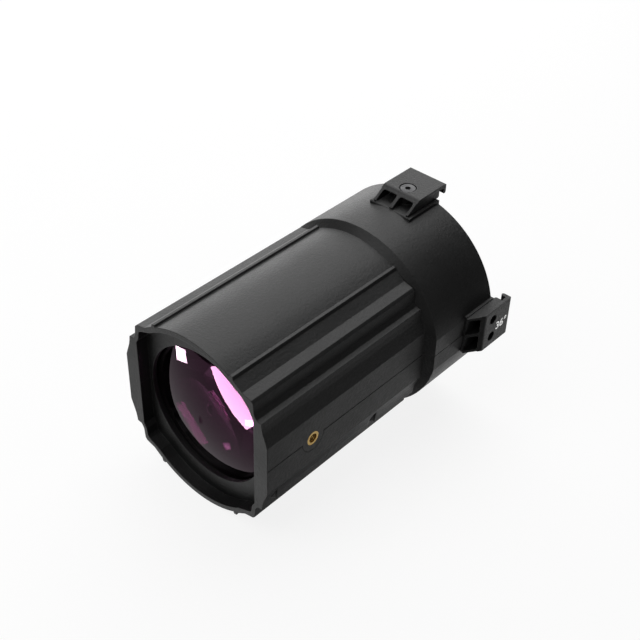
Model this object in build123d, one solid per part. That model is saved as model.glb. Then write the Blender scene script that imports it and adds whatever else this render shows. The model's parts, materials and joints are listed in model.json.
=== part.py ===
from build123d import *
import math
import os

os.makedirs("parts", exist_ok=True)

# Lens tube of an ellipsoidal spotlight, millimetres.
# +X is the way the beam goes, along the optical axis. x = 0 is the end face next to the gate,
# +Z is up, and the focus knob's threaded insert is on the -Y side.
# Two cast half shells meet at z = 0 and clamp two lenses; four brackets at the front hold
# accessory frames, and the top one is a latch that swings about a vertical screw.

# ---- driving dimensions -------------------------------------------------------------------

RIB_END = 157.5            # the ribs of the rear section stop here
CONE_START = 158.2         # the step up to the front barrel
CONE_END = 162.9
RIM_X = 229.1              # front rim of the barrel

CROWN_R = 70.0             # top and bottom arcs of the rear section
CROWN_INNER_R = 66.4
FLAT_Y = 66.4              # side flats of the rear section
FRONT_R = 75.0             # front barrel
FRONT_FLAT_Y = 73.7
FRONT_INNER_R = 71.0
FRONT_INNER_Y = 69.9

MOUTH_Y = 54.5             # half width of the mouth, between the two thick side walls
MOUTH_DEPTH = 9.2
RIB_WALL = 3.0             # thickness of the cast rings that hold the lenses

REAR_BORE_R = 52.0         # opening of the rear bulkhead
SEAT_BORE_R = 54.0
GROOVE_R = 58.5            # root of a lens groove
GROOVE_LEN = 10.0
REAR_GROOVE_X = 12.2
FRONT_GROOVE_X = 84.0
SPARE_GROOVE_X = 124.0     # an empty groove that another beam angle would use

LENS_R = 56.0
LENS_EDGE = 4.0
CUSHION_BORE_R = 53.0

INSERT_X = 42.6            # threaded insert for the focus knob
INSERT_R = 5.3
INSERT_LEN = 11.0
INSERT_BORE_R = 3.4
INSERT_TAPER = 0.2          # the pressed-in end is smaller by this radius
INSERT_BOSS_R = 10.0
INSERT_BOSS_DROP = 0.2      # the boss is centred this far below the insert
INSERT_BOSS_END = -54.0     # inner face of the boss, 1.4 mm behind the blind pocket
SEAM_GAP = 0.3

SHELL_SCREW_X = (9.7, 110.0)
SHELL_SCREW_Y = 60.6
SHELL_SCREW_FLOOR = -16.0  # floor of the counterbore that the screw head sits in
PIN_X = 102.8

PAD_START = 196.5          # raised pads under the brackets
PAD_TOP = 75.4
PAD_BASE = 68.0            # the pads grow out of the barrel wall from here
LATCH_PAD_START = 194.6    # the latch's pad is longer and wider, so that it shows all round
LATCH_PAD_HALF = 18.4
BRACKET_HALF = 16.4
BRACKET_START = 195.5
BRACKET_END = 239.0
BRACKET_TOP = 84.5
SHOULDER = [(206.4, 83.5), (207.4, 84.2), (208.8, BRACKET_TOP)]
LIP_LOW = 78.3             # the end lip's rounded edge starts here
PLATE = 3.0                # thickness of a bracket's outer plate
SLOT_X = 231.7             # slot that an accessory frame slides into
SLOT_LEN = 4.3
SIDE_INSET = 0.5           # the gusset walls stand back this far under the plate
SIDE_WALL = 2.1
MID_WALL = 2.6
POCKET_ROOF = 2.4          # metal left over a pocket
POCKET_ROUND = 1.4

PIVOT_X = 214.6            # screw that the latch swings about
LATCH_GAP = 0.3
PIVOT_HEAD_R = 5.95
PIVOT_RECESS_R = 6.35
PIVOT_RECESS_FLOOR = 80.4
BUSH_R = 5.0
RUNNING = 0.05             # radial clearance of the latch on its bush

BRACKET_SCREW_X = 217.4
BRACKET_SCREW_OFFSET = 7.8
BRACKET_RECESS_R = 3.8
BRACKET_RECESS_FLOOR = 77.4
BRACKET_SCREW_R = 1.95
BRACKET_HOLE_R = 1.98
BRACKET_BOSS_R = 5.6
LATCH_BOSS_R = 8.0
BUSH_TOP = 81.3            # the latch's pivot screw bears on the bush here
PIVOT_R = 3.0
NUT_SEAT = 69.4            # inner faces that the nuts of the top and bottom screws bear on
NUT_BOSS_R = 5.2
PIVOT_BOSS_R = 7.5

FIT = 0.02                 # radial gap of a fastener in its own hole


# ---- small builders -----------------------------------------------------------------------

def x_cylinder(radius, x0, x1):
    """A cylinder on the optical axis from x0 to x1."""
    return Plane.YZ.offset(x0) * extrude(Circle(radius), x1 - x0)


def z_cylinder(radius, x, y, z0, z1):
    """A cylinder along Z from z0 to z1."""
    return Pos(x, y, z0) * extrude(Circle(radius), z1 - z0)


def y_cylinder(radius, x, z, y0, y1):
    """A cylinder along Y from y0 to y1."""
    return Pos(x, y1, z) * Rot(90, 0, 0) * extrude(Circle(radius), y1 - y0)


def insert_body(clearance):
    """The insert's tapered outside, or with a clearance the pocket that it is pressed into."""
    mouth = 1.0 if clearance else 0.0
    outer = INSERT_R + clearance + mouth * INSERT_TAPER / INSERT_LEN
    cone = Cone(outer, INSERT_R + clearance - INSERT_TAPER, INSERT_LEN + mouth)
    return Pos(INSERT_X, -FLAT_Y + (INSERT_LEN - mouth) / 2, 0) * Rot(-90, 0, 0) * cone


def block(x0, x1, y0, y1, z0, z1):
    """A box from its two corners."""
    centre = Pos((x0 + x1) / 2, (y0 + y1) / 2, (z0 + z1) / 2)
    return centre * Box(x1 - x0, y1 - y0, z1 - z0)


def ring(outer, inner, x0, x1):
    """A flat ring on the optical axis."""
    return x_cylinder(outer, x0, x1) - x_cylinder(inner, x0 - 1, x1 + 1)


def side_prism(points, half_width):
    """A closed XZ outline made thick, the same each way in Y."""
    face = Plane.XZ * make_face(Polyline(*points, close=True))
    return extrude(face, half_width, both=True)


def plan_prism(points, height):
    """A closed XY outline raised from z = 0."""
    return extrude(make_face(Polyline(*points, close=True)), height)


def turned(points):
    """A closed XZ outline turned about the optical axis."""
    return revolve(Plane.XZ * make_face(Polyline(*points, close=True)), Axis.X, 360)


def mirrored_y(points):
    """The same outline points on the other side, in the order that closes the outline."""
    return [(-y, z) for y, z in reversed(points)]


def crowned_section(points, crown, x0, x1):
    """The part above the seam of a tube whose right side is points and whose top is an arc."""
    left = mirrored_y(points)
    outline = Polyline(*points)
    outline += ThreePointArc(points[-1], (0, crown), left[0])
    outline += Polyline(*left)
    outline += Line(left[-1], points[0])
    return extrude(Plane.YZ.offset(x0) * make_face(outline), x1 - x0)


# ---- half shells --------------------------------------------------------------------------

# Right side of the ribbed section, from the seam up: the flat, two stepped ribs, a valley
# and a narrow ridge, where the arc of the crown starts.
RIBBED = [
    (FLAT_Y, 0.0), (FLAT_Y, 20.5), (62.6, 31.0), (61.8, 34.6), (61.3, 38.6),
    (57.4, 39.1), (55.3, 42.4), (54.4, 51.0), (52.8, 52.8), (45.2, 54.7),
    (37.6, 59.9), (36.9, 62.4), (34.7, 62.7), (34.0, 61.2),
]
# The inside follows it with walls of 3 to 4 mm.
HOLLOW = [
    (63.0, 0.0), (63.0, 20.0), (59.4, 30.0), (58.2, 35.8), (54.9, 36.6),
    (52.2, 41.2), (51.3, 47.4), (49.6, 49.0), (44.5, 51.2), (39.4, 53.45),
]


def side_limits(rear_y, front_y, x0, height):
    """A prism between the side flats, wider from the step on, above the seam."""
    points = [(x0, -rear_y), (CONE_START, -rear_y), (CONE_END, -front_y), (RIM_X + 1, -front_y),
              (RIM_X + 1, front_y), (CONE_END, front_y), (CONE_START, rear_y), (x0, rear_y)]
    return plan_prism(points, height)


def outer_half():
    """The outside of a half shell, with the step, the barrel and the pads for the brackets."""
    body = crowned_section(RIBBED, CROWN_R, 0, RIB_END)
    barrel = turned([(RIB_END - 1, 0), (RIB_END - 1, CROWN_R - 0.4), (CONE_START, CROWN_R - 0.4),
                     (CONE_END, FRONT_R), (RIM_X - 0.6, FRONT_R), (RIM_X, FRONT_R - 0.6), (RIM_X, 0)])
    barrel &= side_limits(FLAT_Y, FRONT_FLAT_Y, RIB_END - 2, FRONT_R + 5)
    pad = bracket_pad(PAD_START, BRACKET_HALF)
    sides = Rot(90, 0, 0) * pad + Rot(-90, 0, 0) * pad
    sides &= block(0, RIM_X + 5, -90, 90, 0, 90)
    return body + barrel + sides


def bracket_pad(start, half):
    """A raised flat pad on top of the barrel, bevelled at its lamp end."""
    outline = [(start, PAD_BASE), (start, PAD_TOP - 0.8), (start + 0.8, PAD_TOP),
               (RIM_X, PAD_TOP), (RIM_X, PAD_BASE)]
    return side_prism(outline, half)


def hollow_half():
    """The inside of a half shell: mouth, lens grooves, chambers and the front hood."""
    mouth = crowned_section(HOLLOW, CROWN_INNER_R, -1, MOUTH_DEPTH)
    mouth &= block(-2, MOUTH_DEPTH, -MOUTH_Y, MOUTH_Y, 0, 80)
    hollow = mouth + x_cylinder(REAR_BORE_R, 0, REAR_GROOVE_X + 1)
    grooves = (REAR_GROOVE_X, FRONT_GROOVE_X, SPARE_GROOVE_X)
    for x in grooves:
        hollow += x_cylinder(GROOVE_R, x, x + GROOVE_LEN)
    hollow += x_cylinder(SEAT_BORE_R, REAR_GROOVE_X + 1, CONE_START)
    ends = [x - RIB_WALL for x in grooves[1:]] + [CONE_START - 4]
    for x, end in zip(grooves, ends):
        start = x + GROOVE_LEN + RIB_WALL
        hollow += crowned_section(HOLLOW, CROWN_INNER_R, start, end)
    front = turned([(CONE_START - 5, 0), (CONE_START - 5, CROWN_INNER_R - 0.6),
                    (CONE_START + 0.6, CROWN_INNER_R - 0.6), (CONE_END + 0.6, FRONT_INNER_R),
                    (RIM_X + 1, FRONT_INNER_R), (RIM_X + 1, 0)])
    front &= side_limits(HOLLOW[0][0], FRONT_INNER_Y, CONE_START - 5, FRONT_R)
    return hollow + front


def screw_bosses():
    """Solid side walls around the front pair of shell screws and the locating pins."""
    low, high = PIN_X - 4, SHELL_SCREW_X[1] + 8
    right = block(low, high, MOUTH_Y, HOLLOW[0][0] + 0.2, 0, 27)
    return right + mirror(right, Plane.XZ)


def half_shell(pad):
    """A half shell above the seam with its own bracket pad, before its holes."""
    shell = outer_half() + pad - hollow_half() + screw_bosses()
    groove = block(-1, CONE_START, FLAT_Y - 0.3, FLAT_Y + 1, -SEAM_GAP, SEAM_GAP)
    groove += block(CONE_END, PAD_START, FRONT_FLAT_Y - 0.3, FRONT_FLAT_Y + 1, -SEAM_GAP, SEAM_GAP)
    return shell - groove - mirror(groove, Plane.XZ)


def bracket_screw_spots():
    """Places of the two screws of a fixed bracket, across its width."""
    return (-BRACKET_SCREW_OFFSET, BRACKET_SCREW_OFFSET)


def upper_shell():
    """The upper half: insert boss, tapped holes, the latch's hole and its nut seat."""
    shell = half_shell(bracket_pad(LATCH_PAD_START, LATCH_PAD_HALF))
    boss = y_cylinder(INSERT_BOSS_R, INSERT_X, -INSERT_BOSS_DROP, -FLAT_Y, INSERT_BOSS_END)
    boss += block(INSERT_X - INSERT_BOSS_R, INSERT_X + INSERT_BOSS_R, -FLAT_Y + 1, INSERT_BOSS_END, 0, 12)
    shell += boss
    shell -= insert_body(FIT)
    shell += z_cylinder(PIVOT_BOSS_R, PIVOT_X, 0, NUT_SEAT, 73)
    shell -= z_cylinder(PIVOT_R + 0.1, PIVOT_X, 0, 60, 80)
    for side in (-1, 1):
        for x in SHELL_SCREW_X:
            shell -= z_cylinder(2.0 + FIT, x, side * SHELL_SCREW_Y, -1, 15)
        shell -= z_cylinder(2.0 + FIT, PIN_X, side * SHELL_SCREW_Y, -1, 8.2)
        wall = side * FRONT_FLAT_Y
        shell -= y_cylinder(BRACKET_HOLE_R, BRACKET_SCREW_X, BRACKET_SCREW_OFFSET, wall - 6, wall + 6)
    return shell


def lower_shell():
    """The lower half: screw pockets open downwards, and a round notch under the insert boss."""
    shell = mirror(half_shell(bracket_pad(PAD_START, BRACKET_HALF)), Plane.XY)
    shell -= y_cylinder(INSERT_BOSS_R + SEAM_GAP, INSERT_X, -INSERT_BOSS_DROP, -FLAT_Y - 1, -MOUTH_Y + 2)
    for side in (-1, 1):
        for x in SHELL_SCREW_X:
            shell -= z_cylinder(2.25, x, side * SHELL_SCREW_Y, -20, 1)
            shell -= z_cylinder(4.0, x, side * SHELL_SCREW_Y, -60, SHELL_SCREW_FLOOR)
        shell -= z_cylinder(2.0 + FIT, PIN_X, side * SHELL_SCREW_Y, -8.2, 1)
        wall = side * FRONT_FLAT_Y
        shell -= y_cylinder(BRACKET_HOLE_R, BRACKET_SCREW_X, -BRACKET_SCREW_OFFSET, wall - 6, wall + 6)
    for y in bracket_screw_spots():
        shell += z_cylinder(NUT_BOSS_R, BRACKET_SCREW_X, y, -73, -NUT_SEAT)
        shell -= z_cylinder(BRACKET_HOLE_R, BRACKET_SCREW_X, y, -80, -60)
    return shell


# ---- lenses and their cushions ------------------------------------------------------------

def lens(groove_x, gate_radius, far_radius):
    """A lens in the middle of a groove, with a flat-ground edge."""
    edge0 = groove_x + 2.7
    edge1 = edge0 + LENS_EDGE
    gate_sag = gate_radius - math.sqrt(gate_radius ** 2 - LENS_R ** 2)
    far_sag = far_radius - math.sqrt(far_radius ** 2 - LENS_R ** 2)
    gate_apex = (edge0 - gate_sag, 0)
    far_apex = (edge1 + far_sag, 0)
    outline = Line(far_apex, gate_apex)
    outline += RadiusArc(gate_apex, (edge0, LENS_R), gate_radius)
    outline += Line((edge0, LENS_R), (edge1, LENS_R))
    outline += RadiusArc((edge1, LENS_R), far_apex, far_radius)
    return revolve(Plane.XZ * make_face(outline), Axis.X, 360)


def cushion(groove_x, glass):
    """A silicone ring that fills the groove around a lens edge and grips both its faces."""
    return ring(GROOVE_R - 0.1, CUSHION_BORE_R, groove_x, groove_x + GROOVE_LEN) - glass


# ---- brackets -----------------------------------------------------------------------------

def bracket_outline(foot_z):
    """Side view of a bracket: sloped gusset, flat plate, frame slot and rounded end lip."""
    slot_root = BRACKET_TOP - PLATE
    lip_x = SLOT_X + SLOT_LEN
    lip_mid = (lip_x + BRACKET_END) / 2
    start = (BRACKET_START, foot_z)
    outline = Polyline(start, (BRACKET_START, foot_z + 0.8), SHOULDER[0])
    outline += ThreePointArc(*SHOULDER)
    outline += Line(SHOULDER[2], (BRACKET_END - 1.2, BRACKET_TOP))
    outline += RadiusArc((BRACKET_END - 1.2, BRACKET_TOP), (BRACKET_END, BRACKET_TOP - 1.2), 1.2)
    outline += Line((BRACKET_END, BRACKET_TOP - 1.2), (BRACKET_END, LIP_LOW))
    outline += ThreePointArc((BRACKET_END, LIP_LOW), (lip_mid, LIP_LOW - 1.5), (lip_x, LIP_LOW))
    outline += Polyline((lip_x, LIP_LOW), (lip_x, slot_root), (SLOT_X, slot_root), (SLOT_X, foot_z + 1.5))
    outline += ThreePointArc((SLOT_X, foot_z + 1.5), (SLOT_X - 0.45, foot_z + 0.45), (SLOT_X - 1.5, foot_z))
    outline += Line((SLOT_X - 1.5, foot_z), start)
    return outline


def bracket_blank(foot_z, bosses):
    """A cored casting: two pockets, open towards the lamp and the barrel, around the screw bosses."""
    face = Plane.XZ * make_face(bracket_outline(foot_z))
    blank = extrude(face, BRACKET_HALF, both=True)
    for side in (-1, 1):
        outside = side * (BRACKET_HALF + 1)
        wall = side * (BRACKET_HALF - SIDE_INSET)
        shaved = block(BRACKET_START - 1, SLOT_X + 0.01, min(wall, outside), max(wall, outside),
                       foot_z - 1, BRACKET_TOP - 2.2)
        blank -= shaved
        inner = side * (MID_WALL / 2)
        outer = side * (BRACKET_HALF - SIDE_INSET - SIDE_WALL)
        pocket = block(BRACKET_START - 2, SLOT_X - 5, min(inner, outer), max(inner, outer),
                       foot_z - 1, BRACKET_TOP - POCKET_ROOF)
        pocket = fillet(pocket.edges().filter_by(Axis.X).group_by(Axis.Z)[-1], POCKET_ROUND)
        for boss in bosses:
            pocket -= boss
        blank -= pocket
    return blank


def fixed_bracket():
    """A bracket that two screws hold against its pad, drawn on top of the barrel."""
    spots = [(BRACKET_SCREW_X, y) for y in bracket_screw_spots()]
    bosses = [z_cylinder(BRACKET_BOSS_R, x, y, 70, 90) for x, y in spots]
    bracket = bracket_blank(PAD_TOP, bosses)
    for x, y in spots:
        bracket -= z_cylinder(BRACKET_RECESS_R, x, y, BRACKET_RECESS_FLOOR, 90)
        bracket -= z_cylinder(BRACKET_HOLE_R, x, y, 70, 90)
    return bracket


def latch():
    """The top bracket, which turns on a bush and clears the pad under it."""
    bosses = [z_cylinder(LATCH_BOSS_R, PIVOT_X, 0, 70, 90)]
    body = bracket_blank(PAD_TOP + LATCH_GAP, bosses)
    body -= z_cylinder(BUSH_R + RUNNING, PIVOT_X, 0, 70, 90)
    body -= z_cylinder(PIVOT_RECESS_R, PIVOT_X, 0, PIVOT_RECESS_FLOOR, 90)
    return body


# ---- fasteners ----------------------------------------------------------------------------

def hexagon(across_flats, height):
    """A hexagonal prism standing on z = 0."""
    return extrude(RegularPolygon(across_flats / math.sqrt(3), 6), height)


def cap_screw(shank_r, length, head_r, head_h, key):
    """A socket screw along Z: the head stands on z = 0 and the shank hangs below."""
    head = chamfer(extrude(Circle(head_r), head_h).edges().group_by(Axis.Z)[-1], 0.4)
    shank = Pos(0, 0, -length) * extrude(Circle(shank_r), length)
    socket = Pos(0, 0, head_h - 0.6 * head_h) * hexagon(key, head_h)
    return head + shank - socket


def lock_nut(across_flats, height, bore_r):
    """A nut with a plain collar, hanging below z = 0."""
    body = hexagon(across_flats, 0.7 * height)
    body += extrude(Circle(across_flats * 0.44), height)
    body -= Pos(0, 0, -1) * extrude(Circle(bore_r), height + 2)
    return Rot(180, 0, 0) * body


def washer(outer, inner, thickness):
    """A flat ring standing on z = 0."""
    return extrude(Circle(outer) - Circle(inner), thickness)


def spring_washer(outer, inner, thickness):
    """A split ring standing on z = 0."""
    slot = Rot(0, 0, 20) * Pos(0, outer, 0) * Box(0.6, 2 * outer, 4 * thickness)
    return washer(outer, inner, thickness) - slot


def placed(shape, spots):
    """Copies of one shape as a group of separate solids."""
    return Compound(children=[spot * shape for spot in spots])


SIDES = {"left": -90, "bottom": 180, "right": 90}


# ---- assembly -----------------------------------------------------------------------------

def heads_up(corners, thickness):
    """Places of the spring washers, just above the screw heads."""
    return [Pos(x, y, SHELL_SCREW_FLOOR - thickness) for x, y in corners]


def build():
    """Every piece of the lens tube, by name."""
    pieces = {"upper_shell": upper_shell(), "lower_shell": lower_shell()}

    rear_glass = lens(REAR_GROOVE_X, 145.0, 220.0)
    front_glass = lens(FRONT_GROOVE_X, 220.0, 130.0)
    pieces["rear_lens"] = rear_glass
    pieces["rear_lens_cushion"] = cushion(REAR_GROOVE_X, rear_glass)
    pieces["front_lens"] = front_glass
    pieces["front_lens_cushion"] = cushion(FRONT_GROOVE_X, front_glass)

    insert = insert_body(0)
    insert -= y_cylinder(INSERT_BORE_R, INSERT_X, 0, -FLAT_Y - 1, 0)
    pieces["focus_knob_insert"] = insert

    corners = [(x, side * SHELL_SCREW_Y) for x in SHELL_SCREW_X for side in (-1, 1)]
    spring_t = 0.9
    screw = cap_screw(2.0, 14.0 - SHELL_SCREW_FLOOR, 3.5, 3.6, 3.0)
    heads = [Pos(x, y, SHELL_SCREW_FLOOR - spring_t) * Rot(180, 0, 0) for x, y in corners]
    pieces["shell_screws"] = placed(screw, heads)
    split = spring_washer(3.5, 2.15, spring_t)
    pieces["shell_spring_washers"] = placed(split, heads_up(corners, spring_t))
    pin = extrude(Circle(2.0), 16.0)
    pieces["locating_pins"] = placed(pin, [Pos(PIN_X, y, -8) for y in (-SHELL_SCREW_Y, SHELL_SCREW_Y)])

    bracket = fixed_bracket()
    spots = [Pos(BRACKET_SCREW_X, y, 0) for y in bracket_screw_spots()]
    bracket_screw = Pos(0, 0, BRACKET_RECESS_FLOOR) * cap_screw(BRACKET_SCREW_R, 15.0, 3.4, 3.8, 3.0)
    for side, angle in SIDES.items():
        turn = Rot(angle, 0, 0)
        turned_spots = [turn * spot for spot in spots]
        seat = NUT_SEAT if side == "bottom" else FRONT_INNER_Y
        nut = Pos(0, 0, seat) * lock_nut(7.0, 5.0, BRACKET_SCREW_R + FIT)
        pieces[side + "_bracket"] = turn * bracket
        pieces[side + "_bracket_screws"] = placed(bracket_screw, turned_spots)
        pieces[side + "_bracket_nuts"] = placed(nut, turned_spots)

    pieces["top_latch"] = latch()
    bush = Pos(0, 0, PAD_TOP) * washer(BUSH_R, PIVOT_R + FIT, BUSH_TOP - PAD_TOP)
    thrust = Pos(0, 0, PAD_TOP) * washer(9.0, BUSH_R + RUNNING, 0.2)
    wave = Pos(0, 0, BUSH_TOP - 0.8) * washer(5.9, BUSH_R + RUNNING, 0.8)
    pivot = Pos(0, 0, BUSH_TOP) * cap_screw(PIVOT_R, 19.0, PIVOT_HEAD_R, 3.0, 4.0)
    washer_low = NUT_SEAT - 1.2
    plain = Pos(0, 0, washer_low) * washer(6.0, PIVOT_R + 0.2, 1.2)
    nut = Pos(0, 0, washer_low) * lock_nut(10.0, 6.0, PIVOT_R + FIT)
    stack = {"latch_bush": bush, "latch_thrust_washer": thrust, "latch_wave_washer": wave,
             "latch_pivot_screw": pivot, "latch_washer": plain, "latch_lock_nut": nut}
    for name, shape in stack.items():
        pieces[name] = Pos(PIVOT_X, 0, 0) * shape
    return pieces


for node, shape in build().items():
    export_step(shape, "parts/" + node + ".step")
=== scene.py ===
"""Looks for the 36 degree lens tube of an ellipsoidal spotlight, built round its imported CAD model."""
import json
import math

import bmesh
import bpy
from mathutils import Matrix, Vector


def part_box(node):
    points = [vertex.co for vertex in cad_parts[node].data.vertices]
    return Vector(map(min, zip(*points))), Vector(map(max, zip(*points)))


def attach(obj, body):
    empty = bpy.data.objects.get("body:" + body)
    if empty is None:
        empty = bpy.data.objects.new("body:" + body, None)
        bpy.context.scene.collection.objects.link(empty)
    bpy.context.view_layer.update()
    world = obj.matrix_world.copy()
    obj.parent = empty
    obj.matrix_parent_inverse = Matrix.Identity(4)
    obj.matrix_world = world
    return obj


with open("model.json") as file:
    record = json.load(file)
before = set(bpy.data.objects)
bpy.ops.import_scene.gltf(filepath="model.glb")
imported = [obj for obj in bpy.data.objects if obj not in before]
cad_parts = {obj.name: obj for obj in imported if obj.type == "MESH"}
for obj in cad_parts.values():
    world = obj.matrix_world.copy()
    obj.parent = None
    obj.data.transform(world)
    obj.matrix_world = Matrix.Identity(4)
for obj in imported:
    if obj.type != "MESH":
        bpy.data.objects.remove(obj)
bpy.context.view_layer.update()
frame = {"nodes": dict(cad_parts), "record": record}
MM = 0.001


# ---- camera -------------------------------------------------------------------------------

AZIMUTH, ELEVATION, ROLL = -49.019, 38.920, 1.835   # degrees
UNIT = 66.4 * MM                                    # half the width of the tube
DISTANCE = 12.621 * UNIT
ASIDE, BELOW = 0.1004 * UNIT, -0.1088 * UNIT        # where the aim point lies in the view
AIM = Vector((2 * UNIT, 0, 0))
FOCAL_MM = 36 * 1152.13 / 640


def make_camera():
    """The camera at the photograph's viewing angle."""
    az, el, roll = (math.radians(a) for a in (AZIMUTH, ELEVATION, ROLL))
    right = Vector((math.cos(az), math.sin(az), 0))
    back = Vector((math.sin(az) * math.cos(el), -math.cos(az) * math.cos(el), math.sin(el)))
    up = back.cross(right)
    turned_right = math.cos(roll) * right + math.sin(roll) * up
    turned_up = math.cos(roll) * up - math.sin(roll) * right
    data = bpy.data.cameras.new("camera")
    data.lens = FOCAL_MM
    data.sensor_width = 36
    data.clip_start, data.clip_end = 0.01, 100
    camera = bpy.data.objects.new("camera", data)
    bpy.context.scene.collection.objects.link(camera)
    place = AIM - ASIDE * turned_right - BELOW * turned_up + DISTANCE * back
    turn = Matrix((turned_right, turned_up, back)).transposed().to_4x4()
    camera.matrix_world = Matrix.Translation(place) @ turn
    bpy.context.scene.camera = camera


make_camera()


# ---- material building blocks ---------------------------------------------------------------

class Nodes:
    """A material's node tree, with short ways to add and join nodes."""

    def __init__(self, name):
        self.material = bpy.data.materials.new(name)
        self.material.use_nodes = True
        self.tree = self.material.node_tree
        self.shader = next(n for n in self.tree.nodes if n.type == "BSDF_PRINCIPLED")
        self.place = self.add("ShaderNodeTexCoord").outputs["Object"]

    def add(self, kind, **settings):
        node = self.tree.nodes.new(kind)
        for name, value in settings.items():
            setattr(node, name, value)
        return node

    def link(self, source, target):
        self.tree.links.new(source, target)

    def set(self, **sockets):
        """Set sockets of the main shader, written with underscores for spaces."""
        for name, value in sockets.items():
            self.shader.inputs[name.replace("_", " ")].default_value = value

    def noise(self, scale, detail=2.0, rough=0.5):
        """A noise value whose features are about 1 / scale metres across."""
        node = self.add("ShaderNodeTexNoise")
        node.inputs["Scale"].default_value = scale
        node.inputs["Detail"].default_value = detail
        node.inputs["Roughness"].default_value = rough
        self.link(self.place, node.inputs["Vector"])
        return node.outputs["Fac"]

    def span(self, value, low, high, start=0.0, end=1.0):
        """Carry a value from the range low to high over to the range start to end."""
        node = self.add("ShaderNodeMapRange", clamp=True)
        node.inputs["From Min"].default_value = low
        node.inputs["From Max"].default_value = high
        node.inputs["To Min"].default_value = start
        node.inputs["To Max"].default_value = end
        self.link(value, node.inputs["Value"])
        return node.outputs["Result"]

    def maths(self, operation, *values):
        node = self.add("ShaderNodeMath", operation=operation)
        for socket, value in zip(node.inputs, values):
            self.link(value, socket)
        return node.outputs["Value"]

    def mix(self, factor, a, b):
        """A colour between a and b."""
        node = self.add("ShaderNodeMix", data_type="RGBA")
        self.link(factor, node.inputs["Factor"])
        for socket, value in ((node.inputs[6], a), (node.inputs[7], b)):
            if isinstance(value, tuple):
                socket.default_value = (*value, 1)
            else:
                self.link(value, socket)
        return node.outputs[2]

    def rounded(self, radius):
        """The surface's normal with its edges rounded to a radius in metres."""
        node = self.add("ShaderNodeBevel", samples=6)
        node.inputs["Radius"].default_value = radius
        return node.outputs["Normal"]

    def edges(self, radius, low, high):
        """1 on the edges within a radius, and 0 on the faces."""
        dot = self.add("ShaderNodeVectorMath", operation="DOT_PRODUCT")
        self.link(self.rounded(radius), dot.inputs[0])
        self.link(self.add("ShaderNodeNewGeometry").outputs["True Normal"], dot.inputs[1])
        return self.span(dot.outputs["Value"], high, low)

    def bump(self, height, depth, strength=1.0, normal=None):
        """A relief of a depth in metres."""
        node = self.add("ShaderNodeBump")
        node.inputs["Distance"].default_value = depth
        node.inputs["Strength"].default_value = strength
        self.link(height, node.inputs["Height"])
        if normal is not None:
            self.link(normal, node.inputs["Normal"])
        return node.outputs["Normal"]

    def finish(self, colour=None, roughness=None, normal=None):
        for name, value in (("Base Color", colour), ("Roughness", roughness), ("Normal", normal)):
            if value is not None:
                self.link(value, self.shader.inputs[name])
        return self.material


def black_casting(name="black_casting", lit_face_from=None):
    """Die-cast metal under a fine-textured black powder coat, a little rubbed on its edges.

    Where the metal lies farther from the optical axis in Y or Z than the distance in metres given as the
    second argument, its colour is painted a lighter speckled grey: painted light standing in for the
    light those outer faces catch.
    """
    m = Nodes(name)
    grain = m.noise(520, 4, 0.65)
    cloud = m.noise(28, 4, 0.55)
    scuff = m.span(m.noise(240, 5, 0.65), 0.50, 0.72)
    rub = m.maths("MULTIPLY", m.edges(0.9 * MM, 0.80, 0.97), scuff)
    base = m.mix(cloud, (0.0080, 0.0082, 0.0084), (0.0125, 0.0126, 0.0124))
    wear_and_painted_light = m.mix(rub, base, (0.060, 0.060, 0.058))
    rough = m.maths("ADD", m.span(cloud, 0.3, 0.7, 0.40, 0.47), m.span(grain, 0.3, 0.7, -0.03, 0.05))
    # Painted light: beyond that distance the outer faces get a lighter speckled grey in place of the
    # light they catch.
    if lit_face_from:
        axes = m.add("ShaderNodeSeparateXYZ")
        m.link(m.place, axes.inputs["Vector"])
        reach = m.maths("MAXIMUM", *(m.maths("ABSOLUTE", axes.outputs[axis]) for axis in "YZ"))
        outer = m.span(reach, lit_face_from, lit_face_from + 0.1 * MM)
        speckle = m.span(m.noise(700, 3, 0.7), 0.38, 0.62)
        wear_and_painted_light = m.mix(outer, wear_and_painted_light, m.mix(speckle, (0.010, 0.010, 0.010), (0.080, 0.080, 0.078)))
    normal = m.bump(grain, 0.36 * MM, 0.85, m.rounded(0.7 * MM))
    m.set(Specular_IOR_Level=0.5)
    return m.finish(wear_and_painted_light, rough, normal)


def coated_glass():
    """Lens glass with a purple anti-reflection coating and a trace of dust, tinted near-black purple as
    painted shade.
    """
    m = Nodes("coated_glass")
    rough = m.span(m.noise(900, 4, 0.7), 0.62, 0.80, 0.01, 0.06)
    m.set(Transmission_Weight=1.0, IOR=1.45, Specular_Tint=(1.0, 0.30, 0.72, 1))
    # Painted shade: the near-black purple tint stands in for the dark inside of the tube seen through
    # the glass, and darkens and tints the reflections from its inner faces.
    colour = m.mix(m.noise(20), (0.065, 0.022, 0.050), (0.085, 0.030, 0.065))
    return m.finish(colour, rough)


def silicone():
    """Matt black silicone rubber."""
    m = Nodes("silicone")
    grain = m.noise(1200, 3)
    base = m.mix(m.noise(60, 3), (0.012, 0.012, 0.012), (0.020, 0.020, 0.019))
    rough = m.span(m.noise(200, 3), 0.3, 0.7, 0.58, 0.70)
    return m.finish(base, rough, m.bump(grain, 0.05 * MM, 0.4, m.rounded(0.3 * MM)))


def bare_metal(name, light, dark, low, high, grain_scale=600, edge=0.25 * MM):
    """Turned or plated metal with fine tool marks, and duller where it has been handled."""
    m = Nodes(name)
    marks = m.noise(grain_scale, 4, 0.6)
    stain = m.noise(150, 4, 0.6)
    base = m.mix(m.span(stain, 0.35, 0.65), light, dark)
    rough = m.span(stain, 0.3, 0.7, low, high)
    m.set(Metallic=1.0)
    return m.finish(base, rough, m.bump(marks, 0.02 * MM, 0.5, m.rounded(edge)))


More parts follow.
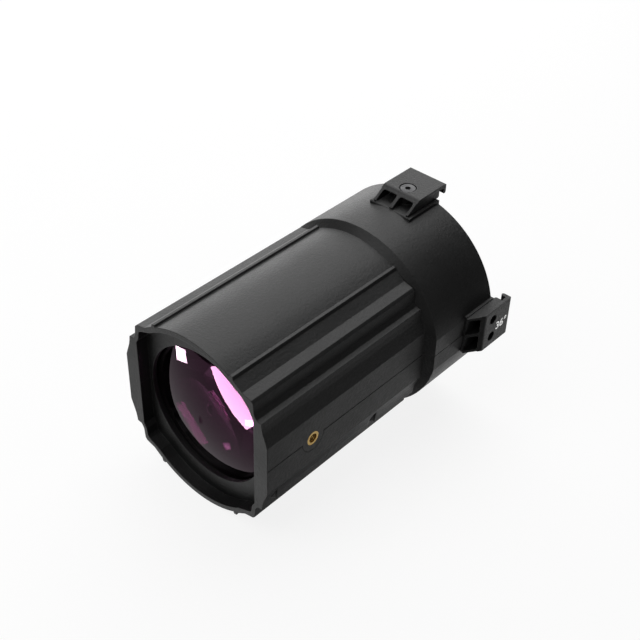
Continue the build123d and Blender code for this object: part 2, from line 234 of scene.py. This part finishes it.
def nylon():
    """Nylon darkened by its graphite filler."""
    m = Nodes("nylon")
    base = m.mix(m.noise(120, 3), (0.030, 0.030, 0.029), (0.045, 0.044, 0.042))
    rough = m.span(m.noise(400, 3), 0.3, 0.7, 0.38, 0.50)
    m.set(Subsurface_Weight=0.1, Subsurface_Scale=0.002)
    return m.finish(base, rough, m.bump(m.noise(900, 2), 0.02 * MM, 0.3, m.rounded(0.15 * MM)))


def white_marking():
    """Screen-printed white ink, thin in places where the coat's texture shows through."""
    m = Nodes("white_marking")
    grain = m.noise(1500, 3, 0.6)
    base = m.mix(m.span(m.noise(900, 4, 0.7), 0.60, 0.80), (0.85, 0.85, 0.84), (0.55, 0.55, 0.54))
    rough = m.span(grain, 0.3, 0.7, 0.45, 0.60)
    return m.finish(base, rough, m.bump(grain, 0.05 * MM, 0.4))


FINISHES = {
    "black_casting": black_casting(),
    "coated_glass": coated_glass(),
    "silicone": silicone(),
    "brass_insert": bare_metal("brass_insert", (0.86, 0.60, 0.22), (0.68, 0.43, 0.13), 0.18, 0.34),
    "black_oxide_screws": bare_metal("black_oxide_screws", (0.150, 0.150, 0.153), (0.085, 0.085, 0.087),
                                     0.30, 0.45),
    "zinc_steel": bare_metal("zinc_steel", (0.62, 0.63, 0.64), (0.48, 0.49, 0.50), 0.26, 0.40),
    "nylon": nylon(),
    "white_marking": white_marking(),
}


def slot_of(node):
    """The record's material slot of a CAD node."""
    for part in frame["record"]["subparts"]:
        if part["node"] == node:
            return part["material_slot"]
    return "black_casting"


def dress(obj, slot):
    obj.data.materials.clear()
    obj.data.materials.append(FINISHES[slot])


for node_name, node_object in frame["nodes"].items():
    dress(node_object, slot_of(node_name))

PAINTED_LIGHT_DEPTH = 0.3 * MM     # the painted-light grey, standing in for the light on the outer faces, reaches this far in from a bracket's outer face
bracket_face = -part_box("right_bracket")[0].y
painted_light_casting = black_casting("painted_light_black_casting", bracket_face - PAINTED_LIGHT_DEPTH)
# Painted light: these brackets' outer faces get the lighter grey in place of the light they catch.
for node_name in ("left_bracket", "bottom_bracket", "right_bracket"):
    frame["nodes"][node_name].data.materials[0] = painted_light_casting


# ---- new pieces ---------------------------------------------------------------------------

def add_piece(name, mesh, slot, body="tube"):
    piece = bpy.data.objects.new(name, mesh)
    bpy.context.scene.collection.objects.link(piece)
    dress(piece, slot)
    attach(piece, body)
    return piece


def insert_thread():
    """The thread in the brass insert: one triangular ridge, wound round its bore."""
    low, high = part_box("focus_knob_insert")
    x, z = (low.x + high.x) / 2, (low.z + high.z) / 2
    root, crest, pitch, per_turn = 3.46 * MM, 3.00 * MM, 1.25 * MM, 48
    profile = (-0.52 * pitch, -0.06 * pitch, 0.06 * pitch, 0.52 * pitch)
    start, end = low.y + 0.75 * MM, high.y - 0.8 * MM
    steps = int((end - start) / pitch * per_turn)
    bm = bmesh.new()
    rings = []
    for i in range(steps + 1):
        angle = 2 * math.pi * i / per_turn
        y = start + pitch * i / per_turn
        fade = min(1.0, i / per_turn, (steps - i) / per_turn)
        inner = root - (root - crest) * max(fade, 0.02)
        ring = []
        for radius, dy in zip((root, inner, inner, root), profile):
            spot = (x + radius * math.cos(angle), y + dy, z + radius * math.sin(angle))
            ring.append(bm.verts.new(spot))
        rings.append(ring)
    for a, b in zip(rings, rings[1:]):
        for j in range(4):
            k = (j + 1) % 4
            bm.faces.new((a[j], a[k], b[k], b[j]))
    bm.faces.new(rings[0])
    bm.faces.new(list(reversed(rings[-1])))
    bmesh.ops.recalc_face_normals(bm, faces=bm.faces)
    mesh = bpy.data.meshes.new("insert_thread")
    bm.to_mesh(mesh)
    bm.free()
    add_piece("insert_thread", mesh, "brass_insert")


def angle_numerals():
    """The beam angle in white numerals on the right bracket's outer face."""
    start_x, base_z, proud = 222.2 * MM, -4.6 * MM, 0.005 * MM
    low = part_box("right_bracket")[0]
    text = bpy.data.curves.new("numerals", "FONT")
    text.body = "36°"
    text.size = 9.4 * MM
    text.space_character = 1.06
    text.offset = 0.15 * MM
    text.extrude = 0.02 * MM
    text.resolution_u = 6
    holder = bpy.data.objects.new("numerals", text)
    bpy.context.scene.collection.objects.link(holder)
    bpy.context.view_layer.update()
    evaluated = holder.evaluated_get(bpy.context.evaluated_depsgraph_get())
    mesh = bpy.data.meshes.new_from_object(evaluated)
    bpy.data.objects.remove(holder)
    lean = Matrix.Rotation(math.radians(90), 4, "X")
    mesh.transform(Matrix.Translation((start_x, low.y + proud, base_z)) @ lean)
    add_piece("beam_angle_numerals", mesh, "white_marking")


insert_thread()
angle_numerals()


# ---- studio -------------------------------------------------------------------------------

def backdrop():
    """A pale floor that the tube rests on with its gate end and its bottom bracket, and a white dome."""
    crown_radius = 70.0 * MM
    gate = Vector((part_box("lower_shell")[0].x, 0, -crown_radius))
    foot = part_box("bottom_bracket")[0]
    slope = math.atan2(foot.z - gate.z, foot.x - gate.x)
    mesh = bpy.data.meshes.new("floor")
    side = 9.0
    corners = [(-side, -side, 0), (side, -side, 0), (side, side, 0), (-side, side, 0)]
    mesh.from_pydata(corners, [], [(0, 1, 2, 3)])
    floor = bpy.data.objects.new("floor", mesh)
    floor.matrix_world = Matrix.Translation(gate) @ Matrix.Rotation(-slope, 4, "Y")
    bm = bmesh.new()
    bmesh.ops.create_uvsphere(bm, u_segments=64, v_segments=32, radius=10.0)
    dome_mesh = bpy.data.meshes.new("dome")
    bm.to_mesh(dome_mesh)
    bm.free()
    dome = bpy.data.objects.new("dome", dome_mesh)
    for obj, glow in ((floor, 0.86), (dome, 1.0)):
        m = Nodes(obj.name)
        m.set(Specular_IOR_Level=0.0, Emission_Color=(1, 1, 1, 1), Emission_Strength=glow)
        obj.data.materials.append(m.finish(m.mix(m.noise(3), (0.17, 0.17, 0.17), (0.18, 0.18, 0.18)),
                                           m.span(m.noise(40), 0.3, 0.7, 0.8, 0.9)))
        obj.data.materials[0].cycles.emission_sampling = "NONE"
        bpy.context.scene.collection.objects.link(obj)
        obj.visible_diffuse = False
        obj.visible_glossy = False
        obj.visible_transmission = False
        obj.visible_shadow = False


def sky(strength):
    world = bpy.data.worlds.new("sky")
    world.use_nodes = True
    world.node_tree.nodes["Background"].inputs["Color"].default_value = (1, 1, 1, 1)
    world.node_tree.nodes["Background"].inputs["Strength"].default_value = strength
    bpy.context.scene.world = world


LIGHTS_AIM = Vector((0.11, 0, 0))   # near the middle of the tube


def softbox(name, azimuth, elevation, distance, width, height, radiance, turn=0):
    """A rectangular softbox that faces the tube.

    Angles are in degrees, with azimuth 0 on +X and 90 on +Y. Turn spins the box about its own middle.
    """
    az, el = math.radians(azimuth), math.radians(elevation)
    away = Vector((math.cos(az) * math.cos(el), math.sin(az) * math.cos(el), math.sin(el)))
    data = bpy.data.lights.new(name, "AREA")
    data.shape = "RECTANGLE"
    data.size, data.size_y = width, height
    data.energy = radiance * math.pi * width * height
    light = bpy.data.objects.new(name, data)
    bpy.context.scene.collection.objects.link(light)
    spin = Matrix.Rotation(math.radians(turn), 4, "Z")
    facing = away.to_track_quat("Z", "Y").to_matrix().to_4x4()
    light.matrix_world = Matrix.Translation(LIGHTS_AIM + distance * away) @ facing @ spin
    light.visible_camera = False
    return light


def linked(light, receivers):
    """Let a light fall on the receivers only."""
    group = bpy.data.collections.new(light.name + "_receivers")
    for receiver in receivers:
        group.objects.link(receiver)
    light.light_linking.receiver_collection = group


backdrop()
sky(0.055)

# azimuth, elevation, distance, width, height, radiance
softbox("overhead", 40, 58, 1.6, 1.9, 1.7, 1.55)
softbox("behind", 54, 4, 1.7, 2.2, 1.2, 1.9)
softbox("below_right", -41, -39, 1.6, 1.6, 1.2, 0.36)
softbox("front_above", 165, 55, 1.5, 1.1, 1.1, 1.8)
softbox("side_fill", -105, 10, 1.7, 1.4, 1.0, 0.5)
softbox("far_fill", 10, -35, 1.7, 1.4, 1.2, 0.8)

# The coated rear lens reflects far less of the room than the castings do, and catches two windows.
# The white numerals have a fill of their own.
rear_lens = frame["nodes"]["rear_lens"]
numerals = bpy.data.objects["beam_angle_numerals"]
others = [node for node in frame["nodes"].values() if node is not rear_lens]
linked(softbox("below_left", 120, -52, 1.6, 3.0, 2.2, 0.78), others)
linked(softbox("lens_card", 120, -40, 1.6, 3.0, 1.7, 0.40), [rear_lens])
linked(softbox("window_left", 129, -18.5, 1.5, 0.23, 0.13, 30, 22), [rear_lens])
linked(softbox("window_front", 165.5, -18.2, 1.5, 0.80, 0.33, 30, -49), [rear_lens])
linked(softbox("numeral_fill", -120, 40, 1.5, 1.0, 1.0, 9), [numerals])
bpy.context.scene.view_settings.view_transform = "Standard"
